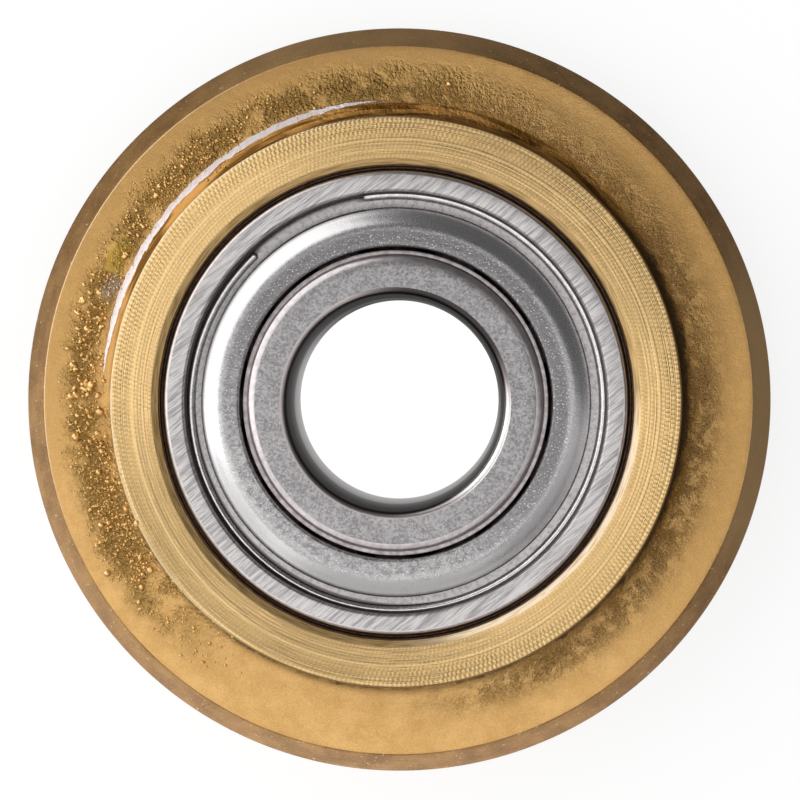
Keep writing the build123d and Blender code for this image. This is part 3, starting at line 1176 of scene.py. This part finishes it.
studio = {
    "cameraAt": (1.322, 1.110, 49.476),
    "cameraTo": (0.075, 0.036, 0.0),
    "lens": 76.9,
    "floorHalf": 600.0,
    "floorBelow": 0.02,
    "world": 0.088,
    # what the camera sees of the floor beside the wheel, before the lamps add to it
    "floorSeen": 0.8,
    "floorShadeR": 30.0,
    "floorWhiteR": 150.0,
    "floorPaper": (0.28, 0.28, 0.28, 1),
    # how bright metal sees the floor, away from the lamps and towards their side
    "floorGlow": 0.03,
    "floorSideGlow": 0.92,
    "floorSide": 246.0,
    "boreGlow": 0.5,
    "panelDistance": 300.0,
    # name, azimuth, elevation, half width and half height in degrees, radiance
    "panels": (
        ("keyLow", 150, 12, 34, 12, 1.6),
        ("key", 149, 41, 36, 17, 1.4),
        ("side", 210, 38, 22, 16, 0.90),
        ("sideHigh", 225, 67, 24, 9, 1.1),
        ("bottom", 262, 38, 28, 16, 0.68),
        ("corner", 325, 45, 24, 12, 0.5),
        ("cornerHigh", 325, 68, 24, 9, 0.9),
        ("overhead", 0, 90, 15, 15, 1.25),
    ),
}


def addCamera():
    data = bpy.data.cameras.new("camera")
    data.lens = studio["lens"]
    data.sensor_width = 36
    data.clip_start = 0.001
    data.clip_end = 100
    camera = addObject("camera", data)
    at = Vector(studio["cameraAt"]) * mm
    back = (at - Vector(studio["cameraTo"]) * mm).normalized()
    right = Vector((0, 1, 0)).cross(back).normalized()
    camera.matrix_world = Matrix((right, back.cross(right), back)).transposed().to_4x4()
    camera.location = at
    bpy.context.scene.camera = camera


def addPanel(name, azimuth, elevation, halfWidth, halfHeight, radiance):
    distance = studio["panelDistance"] * mm
    data = bpy.data.lights.new(name, "AREA")
    data.shape = "RECTANGLE"
    data.size = 2 * distance * math.tan(math.radians(halfWidth))
    data.size_y = 2 * distance * math.tan(math.radians(halfHeight))
    data.energy = radiance * math.pi * data.size * data.size_y
    panel = addObject(name, data)
    a, e = math.radians(azimuth), math.radians(elevation)
    out = Vector((math.cos(a) * math.cos(e), math.sin(a) * math.cos(e), math.sin(e)))
    side = Vector((-math.sin(a), math.cos(a), 0))
    panel.matrix_world = Matrix((side, out.cross(side), out)).transposed().to_4x4()
    panel.location = out * distance


def rayKinds(tree):
    # whether the camera looks, or a reflection
    path = addNode(tree, "ShaderNodeLightPath").outputs
    seen = calc(tree, "MAXIMUM", path["Is Camera Ray"], path["Is Transmission Ray"])
    return seen, path["Is Glossy Ray"]


def addFloor():
    half = studio["floorHalf"] * mm
    z = -(bearingHalf + studio["floorBelow"]) * mm
    mesh = bpy.data.meshes.new("floor")
    corners = [(x * half, y * half, z) for x, y in ((-1, -1), (1, -1), (1, 1), (-1, 1))]
    mesh.from_pydata(corners, [], [(0, 1, 2, 3)])
    floor = addObject("floor", mesh)
    material, tree, where = startMaterial("floor")
    seen, glossy = rayKinds(tree)
    radius, angle, _ = polar(tree, where)
    facing = calc(tree, "COSINE", calc(tree, "SUBTRACT", angle, math.radians(studio["floorSide"])))
    sideGlow = ramp(tree, facing, -0.3, 1.0, 0.0, studio["floorSideGlow"])
    beyond = ramp(tree, radius, 0.7 * rimR, 0.9 * rimR)
    boreGlow = ramp(tree, facing, -0.7, 0.2, 0.0, studio["boreGlow"])
    within = product(tree, ramp(tree, radius, 0.75 * boreR, 0.95 * boreR),
                     ramp(tree, radius, boreR, 1.2 * boreR, 1.0, 0.0))
    glow = sumOf(tree, (sideGlow, beyond), (boreGlow, within), (studio["floorGlow"],))
    # white through the bore and far off, and a little less beside the wheel for its shadow
    farOff = ramp(tree, radius, studio["floorShadeR"], studio["floorWhiteR"],
                  0.0, 1 - studio["floorSeen"])
    pale = total(tree, ramp(tree, radius, boreR, 1.1 * boreR, 1.0, studio["floorSeen"]), farOff)
    strength = sumOf(tree, (seen, pale), (glossy, glow))
    shining = addNode(tree, "ShaderNodeEmission", {"Strength": strength})
    paper = addNode(tree, "ShaderNodeBsdfDiffuse", {"Color": studio["floorPaper"]})
    both = addNode(tree, "ShaderNodeAddShader")
    tree.links.new(shining.outputs[0], both.inputs[0])
    tree.links.new(paper.outputs[0], both.inputs[1])
    tree.links.new(both.outputs[0], addNode(tree, "ShaderNodeOutputMaterial").inputs["Surface"])
    mesh.materials.append(material)


def addWorld():
    world = bpy.data.worlds.new("studio")
    world.use_nodes = True
    tree = world.node_tree
    tree.nodes.clear()
    seen, _ = rayKinds(tree)
    strength = ramp(tree, seen, 0.0, 1.0, studio["world"], 1.0)
    glow = addNode(tree, "ShaderNodeBackground", {"Color": (1, 1, 1, 1), "Strength": strength})
    tree.links.new(glow.outputs[0], addNode(tree, "ShaderNodeOutputWorld").inputs["Surface"])
    bpy.context.scene.world = world


addCamera()
addFloor()
addWorld()
for panel in studio["panels"]:
    addPanel(*panel)
bpy.context.scene.view_settings.view_transform = "Standard"
print("studio done")
